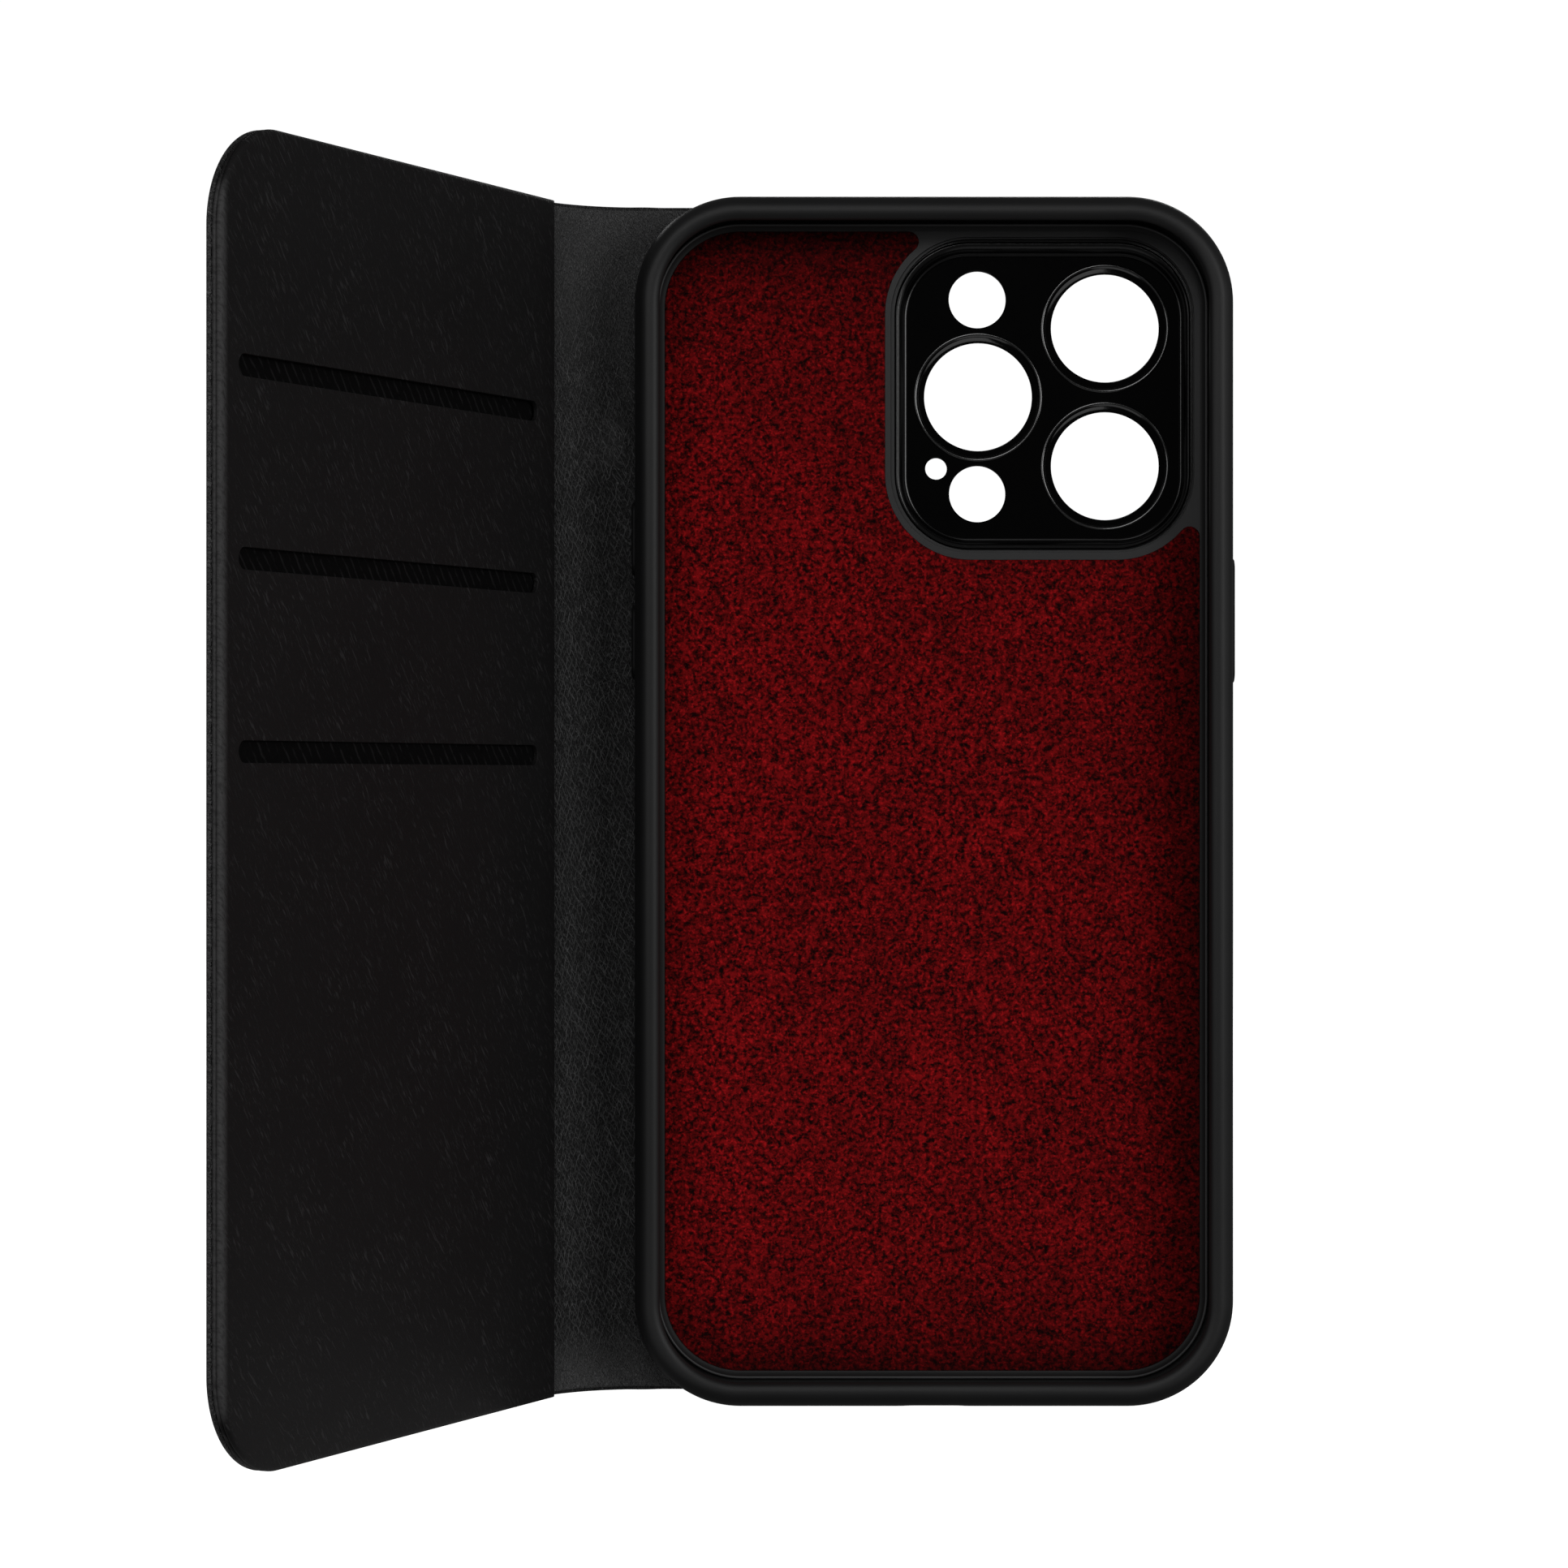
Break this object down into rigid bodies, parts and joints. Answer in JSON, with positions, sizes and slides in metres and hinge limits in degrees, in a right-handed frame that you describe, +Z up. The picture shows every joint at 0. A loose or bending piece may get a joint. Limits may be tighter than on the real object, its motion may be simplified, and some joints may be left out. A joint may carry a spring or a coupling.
{
  "type": "phone wallet case",
  "caption": "Folio wallet case for a large phone: leather cover with card slits, curved spine, lift-off soft tray with suede lining, camera plate and press buttons.",
  "frame": {"origin": "bottom centre of the whole object's box, on the surface it stands on; the case stands upright on its short edge, opened like a book", "axes": "+Z up along the spine, +X to the right of someone who looks into the open case, with the phone tray on the right and the front cover on the left, +Y away from that person, out of the back cover"},
  "size_m": [0.1309, 0.0828, 0.1649],
  "materials": {
    "outer_leather": "black embossed leather, satin",
    "inner_leather": "black fine-grain leather, matt",
    "spine_leather": "charcoal pebbled leather, matt",
    "board": "grey pressed board",
    "pocket_fabric": "black fine ribbed fabric",
    "soft_bumper": "black soft-touch, satin",
    "hard_shell": "dark grey, matt",
    "suede": "deep red suede microfibre",
    "gloss_plate": "piano black, polished",
    "button": "black, polished",
    "steel": "plain nickel-plated steel"
  },
  "bodies": {
    "back_cover": {"back_leather": "outer_leather", "back_board": "board", "docking_plate": "steel", "back_lining": "inner_leather"},
    "spine": {"spine_leather": "outer_leather", "spine_lining": "spine_leather"},
    "front_cover": {"front_leather": "outer_leather", "front_board": "board", "pocket_panel": "inner_leather", "card_pocket_top": "pocket_fabric", "card_pocket_middle": "pocket_fabric", "card_pocket_bottom": "pocket_fabric", "closure_magnets": "steel"},
    "phone_case": {"bumper_frame": "soft_bumper", "back_shell": "hard_shell", "microfibre_lining": "suede", "camera_bezel": "hard_shell", "camera_plate": "gloss_plate", "magnet_ring": "steel", "magnet_bar": "steel", "closure_keeper": "steel"},
    "power_key": {"power_button": "button"},
    "volume_up_key": {"volume_up_button": "button"},
    "volume_down_key": {"volume_down_button": "button"}
  },
  "joints": [
    {"name": "spine_hinge", "type": "hinge", "parent": "back_cover", "child": "spine", "pos_m": [-0.0176, 0.0395, 0.08281], "axis": [0, 0, -1], "range_deg": [-61, 119]},
    {"name": "cover_hinge", "type": "hinge", "parent": "spine", "child": "front_cover", "pos_m": [-0.0288, 0.03329, 0.08281], "axis": [0, 0, -1], "range_deg": [-55, 125]},
    {"name": "case_lift", "type": "slide", "parent": "back_cover", "child": "phone_case", "axis": [0, -1, 0], "range_m": [0, 0.03]},
    {"name": "power_press", "type": "slide", "parent": "phone_case", "child": "power_key", "axis": [-1, 0, 0], "range_m": [0, 0.0003], "stiffness_N_per_m": 2500},
    {"name": "volume_up_press", "type": "slide", "parent": "phone_case", "child": "volume_up_key", "axis": [1, 0, 0], "range_m": [0, 0.0003], "stiffness_N_per_m": 2500},
    {"name": "volume_down_press", "type": "slide", "parent": "phone_case", "child": "volume_down_key", "axis": [1, 0, 0], "range_m": [0, 0.0003], "stiffness_N_per_m": 2500}
  ]
}
